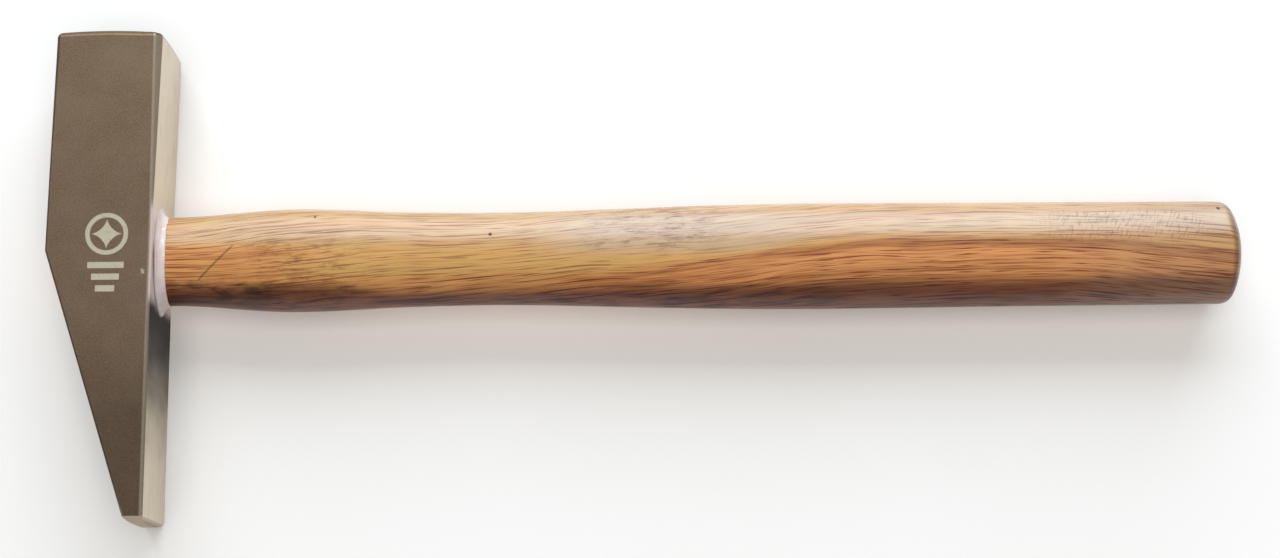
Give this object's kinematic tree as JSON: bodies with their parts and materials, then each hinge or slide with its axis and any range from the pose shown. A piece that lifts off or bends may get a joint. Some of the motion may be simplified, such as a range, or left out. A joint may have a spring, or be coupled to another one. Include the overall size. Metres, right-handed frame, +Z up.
{
  "type": "cross-pein joiner's hammer",
  "caption": "Joiner's hammer with a bronze head, square striking face and flush wedge-shaped cross pein, bonded and wedged on an oval lacquered hardwood handle.",
  "frame": {"origin": "on the lower cheek of the head, straight below the middle of the eye and the handle's axis", "axes": "+X along the handle towards its free end, +Y towards the striking face, +Z up through both cheeks; the hammer lies on its lower cheek"},
  "size_m": [0.2954, 0.123, 0.026],
  "materials": {
    "cast_bronze": "fine sandblasted cast aluminium bronze, satin on the ground faces",
    "lacquered_hardwood": "clear satin lacquer over open-grained hardwood",
    "raw_hardwood": "sawn and sanded hardwood",
    "wedge_bronze": "ground bronze",
    "clear_resin": "cured bonding resin, smooth and glossy"
  },
  "bodies": {
    "root": {"head": "cast_bronze", "handle": "lacquered_hardwood", "wood_wedge": "raw_hardwood", "metal_wedge": "wedge_bronze", "resin_bead": "clear_resin"}
  },
  "joints": []
}
